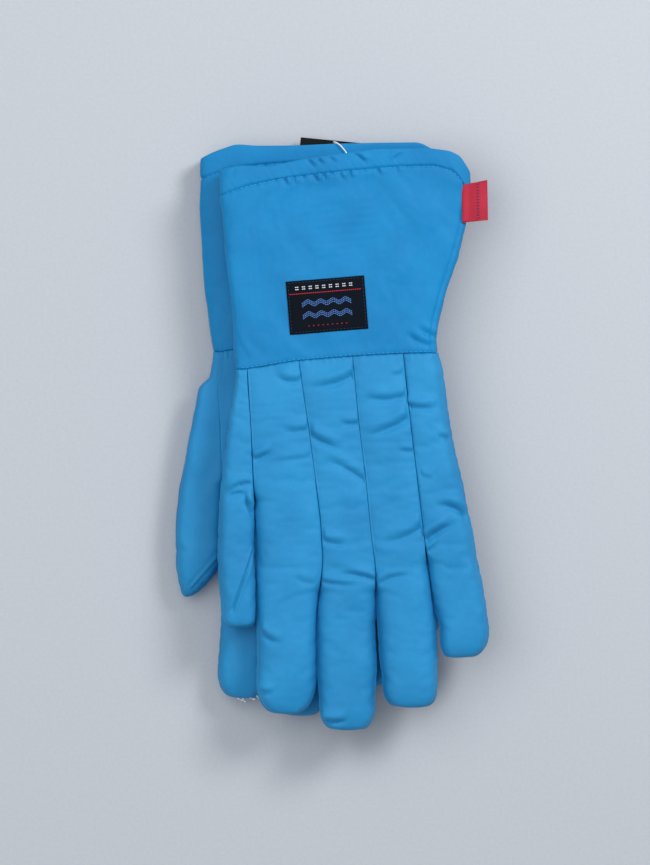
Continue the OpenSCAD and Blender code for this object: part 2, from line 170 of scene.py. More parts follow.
# Each digit has its edges, as (y, left, right), its tip, and how square the tip is: 2 is an ellipse
GLOVES = {
    "left": {
        "at": (0, 0, 36.6), "turn": 0.0, "flip": 1,
        "mouth": [(-72, 165.5), (-60, 168.5), (-40, 168.8), (-21, 172.6), (0, 175.6), (29, 179.3),
            (62, 180), (76, 178), (84, 173), (88, 163)],
        "thumb_seam": [(41, -53.8), (1, -51.5), (THUMB_Y, -49.8)],
        "thumb_side": [(-60, -48.9), (-90, -48.4)],
        "index": ([(-110, -47.6, -9.6), (-120, -47.4, -10.2), (-157, -47.6, -11)], (-28.5, -179.8), 2.4),
        "ring": ([(-100, 28.6, 62.5), (-125, 29, 66.1), (-157, 33.4, 66.3)], (52, -175.6), 3.0),
        "little": ([(-90, 62.4, 93.8), (-112, 66.6, 97.8), (-125, 69.8, 99.2)], (78, -143.8), 2.6),
        "thumb": ([(-37.4, -71.3, -50), (-75, -71.9, -49.4), (-112, -69.6, -48.8)], (-57.5, -123.6),
            3.8),
        "palm_seam": ((-50, -92), (-66, -116)),
    },
    "right": {
        "at": (-22, 8.5, 12), "turn": -3.2, "flip": -1, "pinch": 5.5,
        "mouth": [(-73, 161.5), (-64, 166.5), (-50, 172.1), (-37, 172.2), (-9, 174.2), (13, 176.5),
            (41, 178.7), (68, 180.4), (78, 176), (88, 163)],
        "thumb_seam": [(41, -53.8), (1, -49.5), (THUMB_Y, -45.6)],
        "thumb_side": [(-60, -44.4), (-90, -42.8)],
        "index": ([(-100, -41.8, -9.6), (-130, -41, -9.6), (-160, -41.2, -10.4)], (-26, -181), 2.5),
        "ring": ([(-100, 28.6, 62.5), (-122, 29, 65.8), (-151, 33.2, 66)], (50.5, -169), 3.0),
        "little": ([(-90, 62.4, 93.8), (-106, 66, 97.2), (-118, 69, 98.2)], (84, -134), 2.6),
        "thumb": ([(-37.4, -71.3, -45.8), (-68, -74, -44.8), (-90, -72.2, -44)], (-65.5, -116.8),
            1.5),
        "palm_seam": ((-46, -90), (-64, -113)),
    },
}
MIDDLE_FINGER = ([(-110, -8.7, 27.6), (-130, -8.8, 27.5), (-170, -8, 26.5)], (10.5, -190.1), 2.7)


# ---- Small helpers ----

def smooth(t):
    t = np.clip(t, 0, 1)
    return t * t * (3 - 2 * t)


def mix(a, b, t):
    return a + (b - a) * t


def xyz(points):
    return (points[..., k] for k in range(3))


def facing(normals, way=1):
    """1 where fabric faces up, or down where way is -1, fading to 0 at its sides."""
    return smooth((way * normals[..., 2] - 0.1) / 0.5)


def run_lengths(line):
    """How far along a line each of its points is."""
    return np.concatenate([[0], np.cumsum(np.linalg.norm(np.diff(line, axis=0), axis=1))])


def level(xz, y):
    """A ring or path of (x, z) set at y."""
    return np.stack([xz[:, 0], np.full(len(xz), y), xz[:, 1]], -1)


def curve(points, soften=5.0):
    """A smooth function through (place, value) points."""
    places, values = np.array(sorted(points), float).T

    def at(place):
        place = np.asarray(place, float)
        return sum(np.interp(place + k * soften, places, values) for k in (-1, -0.5, 0, 0.5, 1)) / 5

    return at


def ripples(seed, count, shortest, longest, height):
    """A gentle uneven surface: the sum of sine waves in seeded directions."""
    rng = np.random.default_rng(seed)
    lengths = rng.uniform(shortest, longest, count)
    turns, phases = rng.uniform(0, 2 * math.pi, (2, count))
    tilts = rng.uniform(-0.6, 0.6, count)

    def at(points):
        total = 0.0
        for length, turn, phase, tilt in zip(lengths, turns, phases, tilts):
            k = 2 * math.pi / length
            total = total + np.sin(k * (points[..., 0] * math.cos(turn)
                + points[..., 1] * math.sin(turn) + points[..., 2] * tilt) + phase)
        return height * total / math.sqrt(count)

    return at


def place(glove, points):
    """Points of a glove's own frame, in millimetres, to the row frame, in metres.
    The thumb side of the wrist is pinched in, as the lower glove's is."""
    a = math.radians(glove["turn"])
    x, y, z = points[..., 0], points[..., 1], points[..., 2] * glove["flip"]
    pinch = glove.get("pinch", 0) * smooth((y - PINCH_Y[0]) / 9) * smooth((PINCH_Y[1] - y) / 50)
    x = x + pinch * smooth((PINCH_X - x) / 16)
    at = glove["at"]
    moved = [math.cos(a) * x - math.sin(a) * y + at[0], math.sin(a) * x + math.cos(a) * y + at[1],
        z + at[2]]
    return np.stack(moved, -1) * MM


# ---- Grids and meshes ----

def quarter(power):
    """A quarter of a rounded square, from its side to its top."""
    a = np.linspace(0, math.pi / 2, 32)
    c, s = np.cos(a), np.sin(a)
    r = (c ** power + s ** power) ** (-1 / power)
    return np.stack([r * c, r * s], -1)


def evenly(line, count):
    """A line's points again, evenly spaced, without the last."""
    along = run_lengths(line)
    at = np.linspace(0, along[-1], count + 1)[:-1]
    return np.stack([np.interp(at, along, line[:, k]) for k in range(line.shape[1])], -1)


def section(left, right, z0, top, under, powers, counts=COLUMN_RING):
    """A ring of (x, z): from the left side over the top to the right side, and back underneath.
    powers are for the top left, top right, lower right and lower left corners."""
    mid, half = (left + right) / 2, (right - left) / 2
    corners = [quarter(p) * (half, h) for p, h in zip(powers, (top, top, under, under))]
    over = np.concatenate([corners[0] * (-1, 1), corners[1][::-1][1:]])
    back = np.concatenate([corners[2] * (1, -1), (corners[3] * (-1, -1))[::-1][1:]])
    return np.concatenate([evenly(over, counts[0]), evenly(back, counts[1])]) + (mid, z0)


def normals_of(grid, closed=True):
    along = np.gradient(grid, axis=0)
    if closed:
        around = np.roll(grid, -1, 1) - np.roll(grid, 1, 1)
    else:
        around = np.gradient(grid, axis=1)
    n = np.cross(along, around)
    return n / np.maximum(np.linalg.norm(n, axis=-1, keepdims=True), 1e-9)


def new_object(name, data):
    o = bpy.data.objects.new(name, data)
    bpy.context.scene.collection.objects.link(o)
    return o


def make_mesh(name, vertices, faces, material, uv=None):
    mesh = bpy.data.meshes.new(name)
    mesh.from_pydata(vertices.tolist(), [], faces)
    mesh.validate()
    if uv is not None:
        layer = mesh.uv_layers.new(name="weave")
        layer.data.foreach_set("uv", np.asarray(uv, np.float32).ravel())
    mesh.polygons.foreach_set("use_smooth", [True] * len(mesh.polygons))
    mesh.materials.append(material)
    return new_object(name, mesh)


def distances(grid, closed):
    """Each point's distance along its row and down its column, for the weave."""
    down = np.linalg.norm(np.diff(grid, axis=0), axis=-1).mean(1)
    along = np.concatenate([[0], np.cumsum(down)])
    if closed:
        grid = np.concatenate([grid, grid[:, :1]], 1)
    step = np.linalg.norm(np.diff(grid, axis=1), axis=-1)
    across = np.concatenate([np.zeros((len(grid), 1)), np.cumsum(step, 1)], 1)
    return across, np.broadcast_to(along[:, None], across.shape)


def grid_faces(rows, columns, first, closed, flip):
    """Quads of a grid and the (row, column) of each of their corners."""
    faces, corners = [], []
    wide = columns if closed else columns - 1
    for i in range(rows - 1):
        for j in range(wide):
            quad = [(i, j), (i + 1, j), (i + 1, j + 1), (i, j + 1)]
            if flip:
                quad.reverse()
            faces.append([first + a * columns + b % columns for a, b in quad])
            corners.append(quad)
    return faces, corners


def grid_piece(name, glove, grids, material, closed=True):
    """A closed piece from one grid, capped at both ends, or from an outer and an inner grid that
    are joined all round their edges. Grids run from +Y to -Y and over the back from -X to +X."""
    faces, uv, rims = [], [], []
    flipped = glove["flip"] < 0
    rows, columns = grids[0].shape[:2]
    size = rows * columns
    for k, grid in enumerate(grids):
        new, corners = grid_faces(rows, columns, k * size, closed, flipped != (k == 1))
        faces += new
        across, along = distances(grid, closed)
        uv += [(across[a, b], along[a, b]) for quad in corners for a, b in quad]
    vertices = np.concatenate([g.reshape(-1, 3) for g in grids])
    for row, turn in ((0, False), (rows - 1, True)):
        centre = len(vertices)
        if len(grids) == 1:
            vertices = np.concatenate([vertices, grids[0][row].mean(0)[None]])
        for j in range(columns if closed else columns - 1):
            a, b = row * columns + j, row * columns + (j + 1) % columns
            rims.append(([a, b, centre] if len(grids) == 1 else [a, b, size + b, size + a], turn))
    if not closed:
        for j, turn in ((0, True), (columns - 1, False)):
            for a in range(j, j + size - columns, columns):
                b = a + columns
                rims.append(([a, b, size + b, size + a], turn))
    for face, turn in rims:
        faces.append(face[::-1] if turn != flipped else face)
        uv += [(vertices[v][0], vertices[v][2]) for v in faces[-1]]
    return make_mesh(name, place(glove, vertices), faces, material, uv)


# ---- Relief on the fabric ----

def creased(points, strokes):
    """How far creases lift the fabric: it bulges on their wrist side and tucks in at their line."""
    x, y = points[..., 0], points[..., 1]
    total = np.zeros(x.shape)
    for (x0, y0), (x1, y1), bow, depth, width in strokes:
        depth = CREASE_DEPTH * depth
        length = math.hypot(x1 - x0, y1 - y0)
        ux, uy = (x1 - x0) / length, (y1 - y0) / length
        t = ((x - x0) * ux + (y - y0) * uy) / length
        wrist_side = 1 if ux > 0 else -1
        s = ((y - y0) * ux - (x - x0) * uy) * wrist_side + bow * 4 * t * (1 - t)
        taper = smooth(t * 7 + 0.6) * smooth((1 - t) * 1.8)
        taper = np.where((t > -0.15) & (t < 1), taper, 0)
        bulge = 1.25 * np.exp(-(((s - 1.5 * width) / (1.1 * width)) ** 2))
        tuck = 1.0 * np.exp(-(((s + 0.1 * width) / (0.7 * width)) ** 2))
        line = 0.5 * np.exp(-(((s + 0.1 * width) / (0.25 * width)) ** 2))
        total += depth * taper * (bulge - tuck - line)
    return total


def puckered(place_along, distance, height, reach, seed):
    """Small uneven gathers along a seam, fading away from it."""
    rng = np.random.default_rng(seed)
    wave = 0.0
    for length in (4.3, 6.1, 9.7):
        phase, swing = rng.uniform(0, 2 * math.pi, 2)
        strength = 0.6 + 0.4 * np.sin(place_along / (4.1 * length) + swing)
        wave = wave + strength * np.sin(2 * math.pi * place_along / length + phase)
    return height * wave * np.exp(-np.abs(distance) / reach)


def kept_clear(side, grid, back=12.0):
    """The grid eased back from the other glove and, under the lower glove, from the floor."""
    z = grid[..., 2]
    palm, ease = 12.25, 0.5
    for sign, limit in ((-1, palm), (1, back))[:2 if side == "right" else 1]:
        over = np.maximum(z * sign - limit + ease, 0)
        z = np.where(over > 0, sign * (limit - ease * np.exp(-over / ease)), z)
    return np.stack([grid[..., 0], grid[..., 1], z], -1)


# ---- Cloth ----

CLOTH_SCALE = 0.1
CLOTH_SURPLUS = 0.05
CLOTH_FRAMES = 20
CLOTH_STEP = 2
PUFF = 0.4


def swell(grid, held, pressure=0.5, cap=0.62):
    """Fills padded fabric with a cloth simulation: cut a little too large for its seams, it is blown
    out against them, so that it billows and wrinkles between them. Gives how far each point of a
    closed grid moves out, in millimetres."""
    rows = np.unique(np.append(np.arange(0, len(grid), CLOTH_STEP), len(grid) - 1))
    columns = np.arange(0, grid.shape[1], CLOTH_STEP)
    coarse = grid[rows][:, columns]
    o = blown_cloth(coarse, held[rows][:, columns], pressure)
    for f in range(1, CLOTH_FRAMES + 1):
        bpy.context.scene.frame_set(f)
    now = o.evaluated_get(bpy.context.evaluated_depsgraph_get()).data
    moved = np.empty(len(now.vertices) * 3)
    now.vertices.foreach_get("co", moved)
    moved = moved.reshape(coarse.shape) / CLOTH_SCALE
    bpy.data.objects.remove(o)
    bpy.context.scene.frame_set(1)
    out = ((moved - coarse) * normals_of(coarse)).sum(-1)
    broad = averaged(out)
    out = PUFF * np.tanh(broad / 3) + cap * np.tanh(0.55 * (out - broad) / cap)
    return spread(out, rows, columns, grid.shape)


def averaged(values):
    """The values averaged over their neighbours, reach cells away each way, twice over."""
    reach = 4
    span = range(2 * reach + 1)
    for _ in range(2):
        values = sum(np.roll(values, k - reach, 1) for k in span) / len(span)
        long = np.concatenate([values[:1]] * reach + [values] + [values[-1:]] * reach)
        values = sum(long[k:k + len(values)] for k in span) / len(span)
    return values


def blown_cloth(coarse, held, pressure):
    faces, _ = grid_faces(*coarse.shape[:2], 0, True, False)
    mesh = bpy.data.meshes.new("cloth")
    mesh.from_pydata((coarse.reshape(-1, 3) * CLOTH_SCALE).tolist(), [], faces)
    o = new_object("cloth", mesh)
    group = o.vertex_groups.new(name="held")
    held[[0, -1]] = 1
    for v, weight in enumerate(held.ravel()):
        group.add([v], float(weight), "REPLACE")
    cloth = o.modifiers.new("cloth", "CLOTH")
    values = {"vertex_group_mass": "held", "mass": 0.1, "shrink_min": -CLOTH_SURPLUS, "use_pressure": True,
        "uniform_pressure_force": pressure, "bending_stiffness": 0.05, "quality": 5}
    for key, value in values.items():
        setattr(cloth.settings, key, value)
    cloth.settings.effector_weights.gravity = 0
    cloth.collision_settings.use_collision = False
    cloth.point_cache.frame_start = 1
    cloth.point_cache.frame_end = CLOTH_FRAMES
    return o


def spread(out, rows, columns, shape):
    """The coarse grid's values on the fine grid, smoothed over one coarse cell."""
    looped = np.concatenate([out, out[:, :1]], 1)
    at = np.append(columns, shape[1])
    wide = np.array([np.interp(np.arange(shape[1]), at, row) for row in looped])
    full = np.array([np.interp(np.arange(shape[0]), rows, column) for column in wide.T]).T
    soft = (np.roll(full, 1, 1) + 2 * full + np.roll(full, -1, 1)) / 4
    padded = np.concatenate([soft[:1], soft, soft[-1:]])
    return (padded[:-2] + 2 * padded[1:-1] + padded[2:]) / 4


# ---- Columns: a back panel and its finger in one padded piece ----

wrist_line = curve(WRIST_LINE, 4)


def slanted(grid):
    """Bends the rows near the wrist so that they follow the wrist seam."""
    x, y = grid[..., 0], grid[..., 1]
    shift = (wrist_line(x) - WRIST_Y) * smooth((y + 6) / (WRIST_Y + 6))
    return np.stack([x, y + shift, grid[..., 2]], -1)


def column_grid(left, right, tip, last_y, profile, opening, tip_power):
    """The rings of a column from the wrist to its tip. profile(y) gives the height of the side,
    and how far the top and underside stand from it; opening(y) how round each side is."""
    rings = []
    for y in np.arange(WRIST_Y, last_y, -ROW_STEP):
        sewn = mix(SEAM_POWER, BLOCK_POWER, smooth((profile(y)[1] - 3) / 8))
        tops = [mix(sewn, FINGER_POWER, k) for k in opening(y)]
        unders = [mix(FLUSH_POWER, FINGER_POWER, k) for k in opening(y)]
        xz = section(float(left(y)), float(right(y)), *profile(y), tops + unders[::-1])
        rings.append(level(xz, y))
    x0, x1 = float(left(last_y)), float(right(last_y))
    z0, top, under = profile(last_y)
    for a in TIP_TURNS:
        r = (math.cos(a) ** tip_power + math.sin(a) ** tip_power) ** (-1 / tip_power)
        wide, far = r * math.cos(a), r * math.sin(a)
        y = mix(last_y, tip[1], far)
        thin = wide ** 0.55
        xz = section(mix(tip[0], x0, wide), mix(tip[0], x1, wide), z0, top * thin, under * thin,
            [FINGER_POWER] * 4)
        rings.append(level(xz, y))
    return np.array(rings)


def side_ridge(glove, grid, sides):
    """A narrow seam ridge along the two sides of a digit, where its two panels meet."""
    height, width = 1.2, 0.8
    z = grid[..., 2] * glove["flip"]
    return height * np.exp(-(((z - 1.5) / width) ** 2)) * sides


def in_sewn(y, opens_at):
    """1 where a side of a column is sewn to its neighbour, 0 where it is free."""
    return 1 - smooth((opens_at + 5 - y) / 8)


def pinned(grid, left, right, opening_at):
    """How firmly a column's fabric is held: at its seams and over its hidden underside."""
    x, y, z = xyz(grid)
    edge = np.minimum(x - left(y), right(y) - x)
    side_seam = np.exp(-((z / 1.2) ** 2))
    opened = np.where(x < (left(y) + right(y)) / 2, *[1 - in_sewn(y, c) for c in opening_at])
    held = mix(1 - smooth((edge - 0.5) / 1.5), side_seam, opened)
    hidden = (z < 0) & (y > -84)
    return np.maximum(held, hidden)


def column(glove, side, name, lines, finger, hand_profile, opening_at, strokes, nodes, seed):
    """One column: its two edge lines in the hand run on into its finger's edges."""
    rows, tip, tip_power = finger
    gap = SEAM_GAP / 2
    left = curve(lines[0] + [(y, x0) for y, x0, _ in rows])
    right = curve(lines[1] + [(y, x1) for y, _, x1 in rows])

    def profile(y):
        into = smooth((-74 - y) / 14)
        z0, top, under = (mix(a, b, into) for a, b in zip(hand_profile(y), (0, DIGIT_HALF, DIGIT_HALF)))
        down = WRIST_Y - y
        return z0, top - 0.9 * math.exp(-down / 9) - 0.4 * math.exp(-down / 0.5), under

    def opening(y):
        return [smooth((c + 5 - y) / 13) for c in opening_at]

    grid = slanted(column_grid(lambda y: left(y) + gap, lambda y: right(y) - gap, tip, rows[-1][0],
        profile, opening, tip_power))
    normals = normals_of(grid)
    x, y = grid[..., 0], grid[..., 1]
    upward = facing(normals)
    edge = np.minimum(np.abs(x - left(y)), np.abs(right(y) - x))
    in_hand = smooth((y + 92) / 10)
    relief = uneven(side, grid, 0.4 + 0.6 * upward)
    relief += creased(grid, strokes) * upward
    relief += swell(grid, pinned(grid, left, right, opening_at))
    half = (right(y) - left(y)) / 2
    relief += 0.55 * (1 - (1 - np.minimum(edge / half, 1)) ** 2.5 - 0.6) * in_hand * upward
    relief += puckered(y, edge, 0.13, 3.0, seed) * in_hand * upward
    relief += puckered(x, wrist_line(x) - y, 0.16, 3.5, seed + 50) * in_hand * upward
    sides = [smooth((c - y) / 10) for c in opening_at]
    which = np.where(x < (left(y) + right(y)) / 2, *sides)
    relief += side_ridge(glove, grid, which * (1 - np.abs(normals[..., 2])))
    relief *= smooth((y - grid[-1, 0, 1] + 0.2) / 3)
    sewn_left = np.where(x - left(y) < 6, in_sewn(y, opening_at[0]), 0)
    sewn_right = np.where(right(y) - x < 6, in_sewn(y, opening_at[1]), 0)
    relief *= 1 - np.maximum(sewn_left, sewn_right) * (1 - smooth(edge / 0.9))
    return finish_column(glove, side, name, grid, relief, nodes)


def uneven(side, grid, fine=1.0):
    """Slow and fine waves in the hand's fabric, fading at the wrist seam."""
    return (UNEVEN[side](grid) + FINE[side](grid) * fine) * smooth((WRIST_Y + 4 - grid[..., 1]) / 10)


def finish_column(glove, side, name, grid, relief, nodes):
    """A column's piece, once its grid is moved out by its relief."""
    grid = kept_clear(side, grid + normals_of(grid) * relief[..., None])
    o = grid_piece(f"{side}_{name}_column", glove, [grid], shell_cloth)
    finish_soft(o, nodes, side)
    return o


def finish_soft(o, nodes, side, rides=False):
    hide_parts(*[f"{side}_{n}" for n in nodes])
    if rides:
        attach(o, f"{side}_glove")


def fixed(o, body):
    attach(o, body)


def across_joint(o):
    """Bakes a column's placing into its mesh."""
    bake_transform(o)


# ---- Materials ----

def srgb(*rgb):
    """A colour from its 0 to 255 display values."""
    shares = (v / 255 for v in rgb)
    return [c / 12.92 if c <= 0.04045 else ((c + 0.055) / 1.055) ** 2.4 for c in shares] + [1]


class Nodes:
    """A material's node tree, with short ways to add and link nodes."""

    def __init__(self, name):
        self.material = bpy.data.materials.new(name)
        self.material.use_nodes = True
        self.tree = self.material.node_tree
        self.shader = self.tree.nodes["Principled BSDF"]

    def add(self, kind, inputs=(), **values):
        """A node with some of its inputs, by name or number, fed."""
        node = self.tree.nodes.new(kind)
        for key, value in values.items():
            setattr(node, key, value)
        self.feed(node, inputs)
        return node

    def feed(self, node, inputs):
        """Sets a node's inputs to values, or links them to other nodes' outputs."""
        for key, value in dict(inputs).items():
            if isinstance(value, bpy.types.NodeSocket):
                self.tree.links.new(value, node.inputs[key])
            else:
                node.inputs[key].default_value = value

    def math(self, operation, *values):
        return self.add("ShaderNodeMath", enumerate(values), operation=operation).outputs[0]

    def noise(self, vector, scale, detail):
        return self.add("ShaderNodeTexNoise", {"Scale": scale, "Detail": detail, "Roughness": 0.55,
            "Vector": vector}).outputs["Fac"]

    def blend(self, factor, a, b):
        return self.add("ShaderNodeMix", {0: factor, 6: a, 7: b}, data_type="RGBA").outputs[2]

    def span(self, value, *limits):
        """A value spread from one pair of limits to another."""
        return self.add("ShaderNodeMapRange", enumerate((value, *limits))).outputs[0]

    def bump(self, height, strength, distance, **more):
        return self.add("ShaderNodeBump", {"Strength": strength, "Distance": distance,
            "Height": height, **more}).outputs[0]

    def place(self):
        return self.add("ShaderNodeTexCoord").outputs["Object"]

    def weave(self, pitch):
        """Height of a plain weave, from 0 to 1, on the uv map in millimetres."""
        uv = self.add("ShaderNodeUVMap", uv_map="weave")
        split = self.add("ShaderNodeSeparateXYZ", {0: uv.outputs[0]})
        k = math.pi / pitch
        u, v = (self.math("MULTIPLY", split.outputs[i], k) for i in (0, 1))
        warp = self.math("MULTIPLY", self.math("SINE", u), self.math("COSINE", v))
        weft = self.math("MULTIPLY", self.math("COSINE", u), self.math("SINE", v))
        return self.math("MAXIMUM", self.math("ABSOLUTE", warp), self.math("ABSOLUTE", weft))


def cloth(name, colour, deep, pitch, roughness, sheen, bump=0.35, shine=0.2):
    """Woven nylon: colour in the open, deep in large soft patches of random tone, and deep where the yarns
    dip, which is painted shade in the weave's hollows.
    """
    n = Nodes(name)
    where = n.place()
    woven = n.weave(pitch)
    patch = n.noise(where, 22, 2)
    mottle = n.noise(where, 260, 3)
    fleck = n.noise(where, 1400, 2)
    base = n.blend(n.span(patch, 0.35, 0.7, 0, 0.35), colour, deep)
    # Painted shade: the weave's hollows, where the yarns dip, are darkened towards deep
    base = n.blend(n.span(woven, 0.1, 0.9, 0.28, 0), base, deep)
    base = n.blend(n.span(mottle, 0.3, 0.7, 0.12, 0), base, deep)
    rough = n.math("ADD", n.span(fleck, 0.3, 0.7, roughness - 0.06, roughness + 0.06),
        n.span(woven, 0, 1, 0.05, -0.05))
    yarn = n.bump(woven, bump, 0.00018)
    n.feed(n.shader, {"Base Color": base, "Roughness": rough, "Specular IOR Level": shine,
        "Normal": n.bump(mottle, 0.18, 0.0006, Normal=yarn), "Sheen Weight": sheen,
        "Sheen Roughness": 0.45, "Sheen Tint": srgb(150, 205, 240)})
    return n.material


def plain(name, colour, roughness, grain, bump=0.2, shine=0.4):
    """A simple surface with fine grain: card, plastic or thread."""
    n = Nodes(name)
    speck = n.noise(n.place(), grain, 4)
    dark = [c * 0.8 for c in colour[:3]] + [1]
    n.feed(n.shader, {"Base Color": n.blend(n.span(speck, 0.35, 0.65, 0, 0.6), colour, dark),
        "Roughness": n.span(speck, 0.3, 0.7, roughness - 0.08, roughness + 0.08),
        "Normal": n.bump(speck, bump, 0.0002), "Specular IOR Level": shine})
    return n.material


shell_cloth = cloth("shell_cloth", srgb(38, 143, 197), srgb(20, 104, 160), 0.8, 0.55, 0.07)
cuff_cloth = cloth("cuff_cloth", srgb(14, 134, 192), srgb(8, 98, 156), 0.8, 0.55, 0.07)
lining_cloth = cloth("lining_cloth", srgb(214, 218, 220), srgb(168, 174, 180), 1.6, 0.85, 0.5, 0.8)
label_cloth = cloth("label_cloth", srgb(14, 22, 32), srgb(8, 11, 18), 0.5, 0.7, 0.01, shine=0.05)
tab_cloth = cloth("tab_cloth", srgb(186, 38, 62), srgb(142, 24, 44), 0.55, 0.55, 0.08)
blue_thread = plain("blue_thread", srgb(58, 152, 208), 0.45, 1800)
white_thread = plain("white_thread", srgb(232, 236, 240), 0.5, 1800)
red_thread = plain("red_thread", srgb(196, 40, 58), 0.5, 1800)
navy_thread = plain("navy_thread", srgb(36, 44, 72), 0.5, 1800)
azure_thread = plain("azure_thread", srgb(84, 128, 196), 0.5, 1800)
card = plain("black_card", srgb(8, 14, 16), 0.5, 900, shine=0.12)
clear_plastic = plain("fastener_plastic", srgb(236, 240, 242), 0.25, 500, 0.05)


# ---- The gloves ----

UNEVEN = {"left": ripples(3, 9, 26, 80, 0.42), "right": ripples(8, 9, 26, 80, 0.42)}
FINE = {"left": ripples(14, 12, 9, 18, 0.11), "right": ripples(19, 12, 9, 18, 0.11)}


def slab(_):
    """A back panel between two others: a padded strip over the hand's lining."""
    return 9.0, HAND_HALF - 9.0, 2.6


def edge_block(_):
    """A back panel at the hand's side, round to the side seam."""
    return 0.0, HAND_HALF, 4.0


def index_profile(y):
    into = smooth((THUMB_Y + 8 - y) / 16)
    return tuple(mix(a, b, into) for a, b in zip(slab(y), edge_block(y)))


def hand_columns(glove, side):
    """The four back panels with their fingers. Neighbours part at the heights in parts_at."""
    never = 400
    parts_at = (THUMB_Y, -95, -95, -76, never)
    seams = (glove["thumb_seam"] + glove["thumb_side"], INDEX_SEAM, MIDDLE_SEAM, RING_SEAM, HAND_RIGHT)
    table = (("index", index_profile, INDEX_CREASES, -29, 0), ("middle", slab, MIDDLE_CREASES, 9.4, 0),
        ("ring", slab, RING_CREASES, 44.8, 0), ("little", edge_block, LITTLE_CREASES, 77.2, 11.3))
    for k, (name, profile, creases, joint_x, slant) in enumerate(table):
        nodes = [f"{name}_back_panel", f"{name}_finger_shell", f"{name}_finger_insulation"]
        o = column(glove, side, name, seams[k:k + 2], glove.get(name, MIDDLE_FINGER), profile,
            parts_at[k:k + 2], creases, nodes, 101 + k)
        across_joint(o)


def thumb_column(glove, side):
    """The gusset strip and the thumb, one padded piece."""
    rows, tip, tip_power = glove["thumb"]
    gap = SEAM_GAP / 2
    left = curve(HAND_LEFT[:-1] + [(y, x0) for y, x0, _ in rows])
    right = curve(glove["thumb_seam"][:-1] + [(y, x1) for y, _, x1 in rows])

    def profile(y):
        half = mix(HAND_HALF, DIGIT_HALF, smooth((THUMB_Y + 6 - y) / 12))
        down = WRIST_Y - y
        half -= 0.9 * math.exp(-down / 9)
        return 0, half - 0.4 * math.exp(-down / 0.5), half - 0.1 * math.exp(-down / 0.5)

    grid = slanted(column_grid(left, lambda y: right(y) - gap, tip, rows[-1][0], profile,
        lambda y: (1, smooth((THUMB_Y + 4 - y) / 14)), tip_power))
    normals = normals_of(grid)
    x, y, z = xyz(grid)
    upward = facing(normals)
    relief = uneven(side, grid)
    relief += creased(grid, THUMB_CREASES) * upward
    relief += swell(grid, pinned(grid, left, right, (400, THUMB_Y)))
    relief += seam_line(x, y, (-48, -71), (-64.5, -115.5), 1.5, 0.7) * upward
    relief -= seam_line(x, y, *glove["palm_seam"], 0.8, 0.7) * facing(normals, -1)
    relief += puckered(y, right(y) - x, 0.16, 3.5, 105) * smooth((y + 40) / 10) * upward
    relief += side_ridge(glove, grid, (1 - np.abs(normals[..., 2])) * smooth((THUMB_Y - y) / 14))
    relief *= 1 - in_sewn(y, THUMB_Y) * (1 - smooth((right(y) - x) / 0.9)) * smooth(z / 3)
    nodes = ["thumb_gusset", "thumb_shell", "thumb_insulation"]
    o = finish_column(glove, side, "thumb", grid, relief, nodes)
    across_joint(o)


def seam_line(x, y, start, end, depth, width):
    """The groove of a sewn line with a soft roll on each side."""
    ux, uy = end[0] - start[0], end[1] - start[1]
    length = math.hypot(ux, uy)
    ux, uy = ux / length, uy / length
    t = ((x - start[0]) * ux + (y - start[1]) * uy) / length
    s = (y - start[1]) * ux - (x - start[0]) * uy
    inside = smooth(t * 12) * smooth((1 - t) * 8)
    return inside * (0.45 * depth * np.exp(-((np.abs(s) - 2.4 * width) / (1.6 * width)) ** 2)
        - depth * np.exp(-((s / width) ** 2)))


def palm(glove, side):
    """The palm panel, one padded sheet from side seam to side seam under the hand."""
    left_at = curve(glove["thumb_seam"] + glove["thumb_side"])
    right_at = curve(HAND_RIGHT, 4)
    outer, inner = [], []
    wide_bend, tight_bend, overlap = 14, 5, 1.2
    for y in np.arange(WRIST_Y, PALM_END, -ROW_STEP):
        x0, x1 = float(left_at(y)), float(right_at(y))
        sink = 0.9 * math.exp((y - WRIST_Y) / 9) + 0.1 * math.exp((y - WRIST_Y) / 0.5)
        sink += 2.0 * math.exp(-(y - PALM_END) / 1.5)
        free = smooth((THUMB_Y - y) / 10)
        x0 -= overlap * (1 - free)
        bend, square = mix(tight_bend, wide_bend, free), mix(FLUSH_POWER, PALM_POWER, free)
        for rows, inset, drop in ((outer, 0.0, sink), (inner, PALM_THICK, PALM_THICK)):
            corner = quarter(square) * (bend - inset, HAND_HALF - drop)
            first = np.stack([-corner[:, 0] + x0 + bend, -corner[:, 1]], -1)
            corner = quarter(PALM_POWER) * (wide_bend - inset, HAND_HALF - drop)
            second = np.stack([corner[:, 0] + x1 - wide_bend, -corner[:, 1]], -1)[::-1]
            path = np.concatenate([first, second])
            rows.append(level(np.concatenate([evenly(path, PALM_COLUMNS), path[-1:]]), y))
    outer, inner = slanted(np.array(outer)), slanted(np.array(inner))
    normals = -normals_of(outer, closed=False)
    relief = UNEVEN[side](outer) + FINE[side](outer)
    relief += puckered(outer[..., 0], wrist_line(outer[..., 0]) - outer[..., 1], 0.22, 4.0, 77)
    edge = outer[..., 0] - left_at(outer[..., 1])
    relief *= smooth((WRIST_Y + 4 - outer[..., 1]) / 10)
    rim = 0.9 * np.exp(-((outer[..., 2] / 1.0) ** 2)) * smooth((edge - 40) / 10)
    outer = kept_clear(side, outer + normals * (relief + rim)[..., None])
    inner = inner + normals * (relief + rim)[..., None]
    o = grid_piece(f"{side}_palm", glove, [inner, outer], shell_cloth, closed=False)
    finish_soft(o, ["palm_panel", "hand_back_insulation", "hand_palm_insulation"],
        side, rides=True)


# ---- Cuff ----

cuff_left, cuff_right = curve(CUFF_LEFT), curve(CUFF_RIGHT)
hem_line = curve(HEM_LINE, 3)


